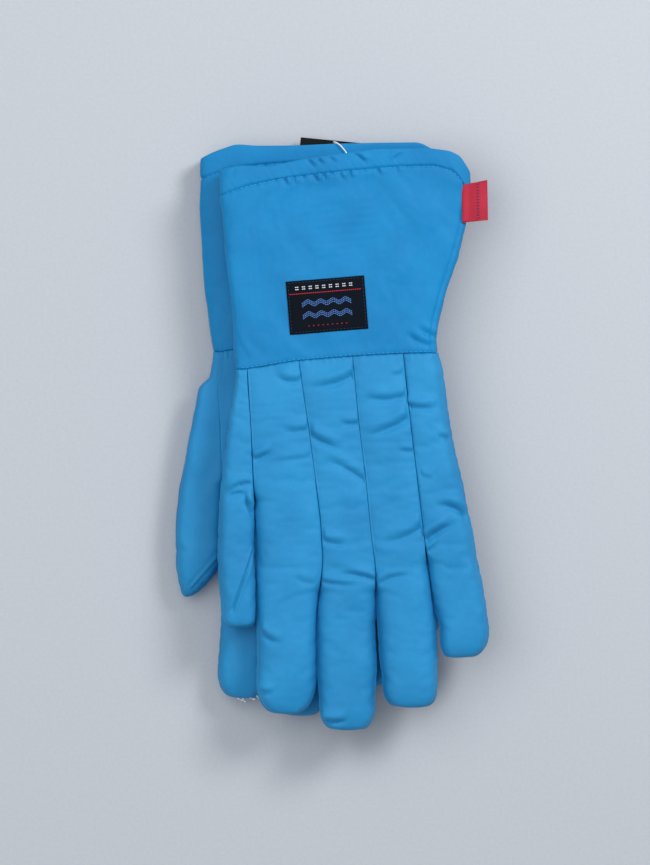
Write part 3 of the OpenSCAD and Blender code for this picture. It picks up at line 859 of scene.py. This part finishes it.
def cuff_ring(low, high, share, inset):
    """A ring of the cuff, share of the way from its line low to its line high, set in by inset."""
    left, right = (float(edge(mix(low(edge(150)), high(edge(150)), share)))
        for edge in (cuff_left, cuff_right))
    half = CUFF_HALF - inset
    xz = section(left + inset, right - inset, 0, half, half, [CUFF_POWER] * 4, CUFF_RING)
    wide = (xz[:, 0] - left) / (right - left)
    at_low, at_high = mix(WRIST_LINE[0][0], WRIST_LINE[-1][0], wide), mix(*HEM_ENDS, wide)
    y = mix(low(at_low if low is wrist_line else at_high), high(at_high), share)
    return np.stack([xz[:, 0], y, xz[:, 1]], -1)


def cuff_relief(side, grid, normals):
    """Soft waves, wrist folds, hem gathers and the side seam of the cuff."""
    x, y, z = xyz(grid)
    upward = facing(normals)
    flat = facing(np.abs(normals))
    relief = UNEVEN[side](grid) * 1.1 + FINE[side](grid) * 0.7
    relief += creased(grid, CUFF_CREASES) * upward
    relief *= smooth((y - wrist_line(x)) / 9)
    below_hem = np.maximum(hem_line(x) - y, 0)
    middle = 0.5 + 0.9 * np.exp(-(((x + 14) / 30) ** 2))
    relief += puckered(x, below_hem, 0.36, 3.6, 31) * middle * flat
    relief += puckered(x, y - wrist_line(x), 0.12, 3.0, 32) * flat
    inside = cuff_right(y) - 4.0 - x
    ridge = 0.55 * np.exp(-(((inside + 1.5) / 1.0) ** 2)) - 0.95 * np.exp(-((inside / 0.75) ** 2))
    return relief + ridge * (z > 0.8)


def cuff(glove, side):
    """The cuff's padded wall, from the wrist seam to the hem."""
    rows, length = 100, 110
    outer, inner = [], []
    for k in reversed(range(rows + 1)):
        share = k / rows
        near_end = 0.35 * math.exp(-share * length / 0.5) + 0.7 * math.exp((share - 1) * length / 0.7)
        outer.append(cuff_ring(wrist_line, hem_line, share, near_end))
        inner.append(cuff_ring(wrist_line, hem_line, share, CUFF_THICK))
    outer, inner = np.array(outer), np.array(inner)
    normals = normals_of(outer)
    relief = cuff_relief(side, outer, normals)
    x, y, z = xyz(outer)
    ends = np.minimum(y - wrist_line(x), hem_line(x) - y)
    held = np.maximum(1 - smooth((ends - 0.5) / 1.5), np.exp(-((z / 1.2) ** 2)))
    relief += swell(outer, held, pressure=0.15, cap=0.4)
    outer = kept_clear(side, outer + normals * relief[..., None], back=10.3)
    o = grid_piece(f"{side}_cuff", glove, [outer, inner], cuff_cloth)
    finish_soft(o, ["cuff_back_panel", "cuff_palm_panel", "cuff_back_insulation",
        "cuff_palm_insulation"], side, rides=True)


def hem(glove, side):
    """The hem band: up the outside, over the rim and down inside the mouth."""
    mouth = curve(glove["mouth"], 3)
    rim, thick = 0.94, 4.4
    profile = [(k / 12 * rim, 0.7 * math.exp(-k / 12 * 10 / 0.5) - 0.15 * math.sin(math.pi * (k / 12)))
        for k in range(13)]
    for k in range(1, 10):
        a = math.pi * k / 10
        round_off = math.copysign(abs(math.cos(a)) ** 0.6, math.cos(a))
        profile.append((rim + 0.2 * math.sin(a) ** 0.6, thick / 2 - thick / 2 * round_off))
    profile += [(rim - k / 8 * 1.5, thick + 0.2 * k / 8) for k in range(9)]
    grid = np.array([cuff_ring(hem_line, mouth, *at) for at in profile[::-1]])
    x, y, z = xyz(grid)
    flat = smooth((4.5 * np.abs(z) / CUFF_HALF - 1) / 1.5)
    above = np.maximum(y - hem_line(x), 0)
    lift = UNEVEN[side](grid) * 1.1
    lift += puckered(x + 0.7 * y, above, 0.3, 7.0, 41) * (0.3 + 0.9 * np.exp(-(((x - 1) / 26) ** 2)))
    outside = smooth((np.arange(len(grid)) - 10) / 14)[:, None]
    lift += creased(grid, HEM_CREASES) * (z > 0) * outside
    grid[..., 2] += lift * flat * np.sign(z)
    grid = kept_clear(side, grid, back=11.8)
    o = ring_piece(f"{side}_hem", glove, grid, cuff_cloth)
    finish_soft(o, ["cuff_hem"], side, rides=True)


def ring_piece(name, glove, grid, material):
    """A closed band from a grid whose last row joins its first."""
    rows, columns = grid.shape[:2]
    looped = np.concatenate([grid, grid[:1]])
    across, along = distances(looped, True)
    faces, corners = grid_faces(rows + 1, columns, 0, True, glove["flip"] < 0)
    faces = [[v % (rows * columns) for v in f] for f in faces]
    uv = [(across[a, b], along[a, b]) for quad in corners for a, b in quad]
    return make_mesh(name, place(glove, grid.reshape(-1, 3)), faces, material, uv)


def lining(glove, side):
    """The lining inside the cuff, seen through the mouth, from the hem to just past the wrist seam."""
    outer, inner = (np.array([cuff_ring(wrist_line, hem_line, share, CUFF_THICK + inset)
        for share in np.linspace(0.99, -0.02, 70)]) for inset in (0.2, 1.3))
    quilting = 0.35 * np.cos(outer[..., 0] / 4.5) * np.cos(outer[..., 1] / 4.5)
    sign = np.sign(inner[..., 2]) * smooth(np.abs(inner[..., 2]) / 3)
    inner[..., 2] -= (quilting + 0.35) * sign * 0.6
    o = grid_piece(f"{side}_lining", glove, [outer, inner], lining_cloth)
    finish_soft(o, ["cuff_lining", "hand_lining"], side, rides=True)


# ---- Labels, tabs and stitches ----

def ray_surface(*objects):
    """A function that gives the outermost point and normal of some pieces over (x, y) in a glove."""
    beyond = 60.0
    trees = [BVHTree.FromPolygons([v.co for v in o.data.vertices],
        [tuple(p.vertices) for p in o.data.polygons]) for o in objects]

    def at(glove, x, y, face=1):
        up = glove["flip"] * face
        start = Vector(place(glove, np.array([x, y, beyond * face])))
        hits = [t.ray_cast(start, Vector((0, 0, -up))) for t in trees]
        hits = [h for h in hits if h[0] is not None]
        if not hits:
            return None, None
        best = min(hits, key=lambda h: h[3])
        return best[0], best[1] if best[1].z * up > 0 else -best[1]

    return at


def stitch(centres, radius):
    """The points and faces of one stitch, a short arched tube of thread sunk in at its ends."""
    sides, points, faces = 6, [], []
    run = (centres[-1][0] - centres[0][0]).normalized()
    for centre, normal, arch in centres:
        side = run.cross(normal).normalized()
        r = radius * (0.45 + 0.55 * arch) * MM
        for a in (2 * math.pi * k / sides for k in range(sides)):
            points.append(tuple(centre + side * (r * math.cos(a)) + normal * (r * math.sin(a))))
    for first in range(0, len(points) - sides, sides):
        for k in range(sides):
            a, b = first + k, first + (k + 1) % sides
            faces.append([a, b, b + sides, a + sides])
    faces.append(list(range(sides))[::-1])
    faces.append(list(range(len(points) - sides, len(points))))
    return points, faces


def stitches(name, glove, surface, path, material, length=2.0, gap=1.0, radius=0.3):
    """A row of thread stitches along a path of (x, y) on a surface."""
    points = np.array(path, float)
    along = run_lengths(points)
    vertices, faces = [], []
    start = 0.0
    while start + length < along[-1]:
        centres = []
        for share in (k / 4 for k in range(5)):
            x, y = (np.interp(start + length * share, along, points[:, i]) for i in (0, 1))
            hit, normal = surface(glove, x, y)
            if hit is None:
                break
            arch = math.sin(math.pi * share)
            centres.append((hit + normal * (radius * (1.1 * arch - 0.35)) * MM, normal, arch))
        start += length + gap
        if len(centres) == 5:
            new, sewn = stitch(centres, radius)
            faces += [[len(vertices) + v for v in face] for face in sewn]
            vertices += new
    return make_mesh(name, np.array(vertices), faces, material)


def seam_stitches(glove, side, surface):
    """Rows of thread along the wrist seam and the hem, on the back and on the palm side."""
    lines = {"wrist": [(x, float(wrist_line(x)) + 1.1) for x in np.linspace(-58, 65, 80)],
        "hem": [(x, float(hem_line(x)) - 0.9) for x in np.linspace(-67, 83, 90)]}
    for name, line in lines.items():
        rows = [stitches(f"{name}_{face}", glove, lambda *at: surface(*at, face), line, blue_thread)
            for face in (1, -1)]
        fixed(join(rows, f"{side}_{name}_stitches"), f"{side}_glove")


LABEL_AT = (-3.2, 81.1)
LABEL_SIZE = (50.0, 34.0)
LABEL_TURN = math.radians(4.7)
LABEL_THICK = 0.5
IN_ROW = {"at": (0, 0, 0), "turn": 0.0, "flip": 1}


def label_point(u, v):
    """A place on the label, in millimetres from its centre, in the glove's frame."""
    c, s = math.cos(LABEL_TURN), math.sin(LABEL_TURN)
    return LABEL_AT[0] + u * c - v * s, LABEL_AT[1] + u * s + v * c


def label(glove, side, surface):
    """A woven label laid on the cuff, with a plain pattern of bars and zigzags sewn into it."""
    w, h = LABEL_SIZE
    rows, columns = 24, 34
    top, low = [], []
    for v in (h * (0.5 - k / rows) for k in range(rows + 1)):
        for u in (w * (k / columns - 0.5) for k in range(columns + 1)):
            hit, normal = surface(glove, *label_point(u, v))
            lift = 0.1 + 0.35 * smooth(min(w / 2 - abs(u), h / 2 - abs(v)) / 3.0)
            top.append(hit + normal * (lift + LABEL_THICK) * MM)
            low.append(hit + normal * lift * MM)
    grids = [np.array(g).reshape(rows + 1, columns + 1, 3) / MM for g in (top, low)]
    o = grid_piece(f"{side}_label", IN_ROW, grids[::glove["flip"]], label_cloth, closed=False)
    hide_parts(f"{side}_woven_label")
    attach(o, f"{side}_glove")
    weave_marks(glove, side, o)


def line_of(points):
    """A line of (x, y) through points, as 24 evenly spaced ones."""
    points = np.array(points, float)
    along = run_lengths(points)
    return [tuple(np.interp(at, along, points[:, i]) for i in (0, 1)) for at in np.linspace(0, along[-1], 24)]


def weave_marks(glove, side, o):
    """The label's border, rule, bars, waves and dots, as (lines, thread, stitch sizes)."""
    on_label = ray_surface(o)
    w, h = LABEL_SIZE[0] / 2 - 1.2, LABEL_SIZE[1] / 2 - 1.2
    corners = [(-w, h), (w, h), (w, -h), (-w, -h), (-w, h)]
    marks = {
        "border": ([corners[k:k + 2] for k in range(4)], navy_thread, 1.5, 0.7, 0.2),
        "rule": ([[(0.3 - w, 8.6), (w - 0.3, 8.6)]], red_thread, 1.3, 0.05, 0.35),
        "bars": ([[(x, y), (x + 2.6, y)] for y in (11.4, 12.8) for x in np.arange(-19.5, 17, 4.3)],
            white_thread, 1.1, 0.05, 0.4),
        "waves": ([[(x, y - dy + 1.3 * (1 if k % 2 else -1)) for k, x in enumerate(range(-16, 17, 4))]
            for y in (3.4, -4.2) for dy in (0, 1.1, 2.2)], azure_thread, 1.2, 0.1, 0.34),
        "dots": ([[(x, -12.3), (x + 1.3, -12.3)] for x in range(-13, 12, 3)],
            red_thread, 1.0, 0.1, 0.34),
    }
    for mark, (lines, *sizes) in marks.items():
        rows = [stitches(f"{mark}_{k}", glove, on_label, [label_point(*p) for p in line_of(line)],
            *sizes) for k, line in enumerate(lines)]
        fixed(join(rows, f"{side}_label_{mark}"), f"{side}_glove")


def join(objects, name):
    """Joins pieces that share one material into one."""
    vertices, faces, first = [], [], 0
    for o in objects:
        vertices += [tuple(v.co) for v in o.data.vertices]
        faces += [[first + v for v in p.vertices] for p in o.data.polygons]
        first += len(o.data.vertices)
    whole = make_mesh(name, np.array(vertices), faces, objects[0].data.materials[0])
    for o in objects:
        bpy.data.objects.remove(o)
    return whole


TAB_ROOT = 83.4
TAB_TIP = 98.8
TAB_Y = (133.8, 157.8)
TAB_MIDDLE = 147.0


def tab_point(x, y):
    """A place on the ribbon once it is pulled askew towards the cuff's mouth."""
    share = (y - TAB_Y[0]) / (TAB_Y[1] - TAB_Y[0])
    return x - 0.4 * share, y + mix(0.12, 0.22, share) * (x - TAB_ROOT)


def tab_loop(root_z):
    """The ribbon seen from its edge, as (x, z): out along its top leaf and back along the other."""
    line = [(TAB_ROOT, root_z - 0.2), (84.8, root_z + 0.5), (87.2, root_z - 0.2), (90, root_z - 3.6),
        (93.5, root_z - 6.4), (TAB_TIP, root_z - 8.6)]
    path = smooth_path(line, 26)
    tangent = np.gradient(path, axis=0)
    tangent /= np.linalg.norm(tangent, axis=1, keepdims=True)
    away = np.stack([-tangent[:, 1], tangent[:, 0]], -1)
    leaf, thick = 0.62, 0.24
    turn = [path[-1] + leaf * (math.cos(a) * away[-1] + math.sin(a) * tangent[-1])
        for a in np.linspace(0.3, math.pi - 0.3, 8)]
    folded = np.concatenate([path + away * leaf, turn, (path - away * leaf)[::-1]])
    out = np.gradient(folded, axis=0)
    out = np.stack([-out[:, 1], out[:, 0]], -1) / np.linalg.norm(out, axis=1, keepdims=True)
    return np.concatenate([folded + out * thick, (folded - out * thick)[::-1]])


def tab(glove, side, surface):
    """A ribbon folded double, sewn into the cuff's side seam and lying over its edge."""
    hit, _ = surface(glove, TAB_ROOT, TAB_MIDDLE)
    loop = tab_loop((hit.z / MM - glove["at"][2]) * glove["flip"])
    count = 24
    grid = []
    for y in (mix(TAB_Y[1], TAB_Y[0], k / count) for k in range(count + 1)):
        wobble = 0.25 * math.sin(y / 3.1)
        grid.append([(*tab_point(x, y), z + wobble * (x - TAB_ROOT) / 15) for x, z in loop])
    o = grid_piece(f"{side}_tab", glove, [np.array(grid)], tab_cloth)
    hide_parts(f"{side}_side_tab")
    for piece in (o, tab_marks(glove, side, o)):
        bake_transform(piece)


def smooth_path(points, count):
    """A smooth line through points, by a Catmull-Rom curve."""
    p = np.array([points[0], *points, points[-1]], float)
    made = []
    for t in np.linspace(0, len(points) - 1.001, count):
        k, u = int(t), t - int(t)
        a, b, c, d = p[k:k + 4]
        made.append(0.5 * (2 * b + (c - a) * u + (2 * a - 5 * b + 4 * c - d) * u ** 2
            + (3 * b - a - 3 * c + d) * u ** 3))
    return np.array(made)


def tab_marks(glove, side, o):
    """A plain column of short bars woven across the ribbon."""
    on_tab = ray_surface(o)
    parts = [stitches(f"tab_mark_{k}", glove, on_tab, [tab_point(x, y) for x in (92.2, 93.5, 94.8)],
        navy_thread, 2.3, 0.1, 0.3) for k, y in enumerate(np.arange(135.6, 157, 1.9))]
    whole = join(parts, f"{side}_tab_marks")
    return whole


def glove_pieces(side):
    glove = GLOVES[side]
    hand_columns(glove, side)
    thumb_column(glove, side)
    palm(glove, side)
    cuff(glove, side)
    hem(glove, side)
    lining(glove, side)
    shell = ray_surface(*(bpy.data.objects[f"{side}_{n}"] for n in ("cuff", "hem")))
    seam_stitches(glove, side, shell)
    label(glove, side, shell)
    tab(glove, side, shell)


for side in GLOVES:
    glove_pieces(side)


# ---- Hang tag and fastener ----

THREAD_ROUTE = [(1.9, 184.6, 6.2), (1.7, 184.8, 9.5), (1.2, 185.6, 12.5), (0.9, 186.2, 16),
    (1.3, 186.4, 20), (2.8, 185.8, 23.2), (5.3, 184, 24.5), (7.7, 181.3, 24.5), (9.9, 178.2, 24.5)]


def tube(name, path, radius, sides, material):
    """A round tube along a path in millimetres of the row frame."""
    path = np.array(path, float)
    along = np.gradient(path, axis=0)
    along /= np.linalg.norm(along, axis=1, keepdims=True)
    side = np.cross(along, (1, 0.3, 0))
    side /= np.linalg.norm(side, axis=1, keepdims=True)
    other = np.cross(along, side)
    a = 2 * math.pi * np.arange(sides) / sides
    grid = path[:, None] + radius * (np.cos(a)[None, :, None] * side[:, None]
        + np.sin(a)[None, :, None] * other[:, None])
    return grid_piece(name, IN_ROW, [grid], material)


def hang_tag():
    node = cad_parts["hang_tag"]
    node.data.materials.clear()
    node.data.materials.append(card)
    thread = tube("tag_thread", smooth_path(THREAD_ROUTE, 60), 0.42, 12, clear_plastic)
    x0, y0, z0 = THREAD_ROUTE[0]
    bar = tube("tag_thread_bar", [(x0 + x, y0, z0) for x in np.linspace(-3.5, 3.5, 9)], 0.6, 12,
        clear_plastic)
    whole = join([thread, bar], "tag_loop")
    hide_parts("tag_fastener")
    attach(whole, "right_glove")


def loose_threads():
    """Cut ends of white thread at the tip of the lower glove's index finger."""
    ends = ((-28.5, -180.9, -25, 3.4), (-25.5, -180.8, -50, 3.0), (-20.5, -180.4, -15, 3.4),
        (-16.5, -178.8, -40, 3.4))
    parts = []
    for k, (x, y, turn, length) in enumerate(ends):
        a = math.radians(turn)
        path = np.array([(x + t * math.cos(a), y + t * math.sin(a), -4.5 - 0.8 * math.sin(2 * t + k))
            for t in np.linspace(0, length, 10)])
        path = place(GLOVES["right"], path) / MM
        parts.append(tube(f"loose_thread_{k}", path, 0.48, 8, white_thread))
    fixed(join(parts, "loose_threads"), "right_index_finger")


hang_tag()
loose_threads()


# ---- Floor, light and camera ----

CAMERA_AT = (-0.0045, 0, 3.874)
CAMERA_LENS = 250


def floor():
    n = Nodes("floor_paper")
    speck = n.noise(n.place(), 500, 3)
    paper = n.blend(n.span(speck, 0.3, 0.7, 0, 1), srgb(188, 192, 197), srgb(183, 187, 192))
    n.feed(n.shader, {"Base Color": paper, "Roughness": 0.9})
    half = 3
    corners = np.array([(-half, -half, 0), (half, -half, 0), (half, half, 0), (-half, half, 0)])
    make_mesh("floor", corners, [[0, 1, 2, 3]], n.material)


def area_light(name, at, aim, size, power):
    data = bpy.data.lights.new(name, "AREA")
    data.shape, data.size, data.energy = "SQUARE", size, power
    o = new_object(name, data)
    o.location = at
    o.rotation_euler = (Vector(aim) - Vector(at)).to_track_quat("-Z", "Y").to_euler()


def studio():
    middle = (0, 0, 0.03)
    area_light("key", (1.0, 0.9, 1.3), middle, 0.6, 20)
    area_light("fill", (-0.6, 0.3, 1.6), middle, 1.6, 16)
    world = bpy.data.worlds.new("studio")
    world.use_nodes = True
    sky = world.node_tree.nodes["Background"].inputs
    sky[0].default_value, sky[1].default_value = (0.86, 0.92, 1, 1), 0.45
    bpy.context.scene.world = world
    bpy.context.scene.view_settings.view_transform = "Standard"


def camera():
    data = bpy.data.cameras.new("camera")
    data.lens, data.clip_end = CAMERA_LENS, 20
    bpy.context.scene.camera = new_object("camera", data)
    bpy.context.scene.camera.location = CAMERA_AT


floor()
studio()
camera()
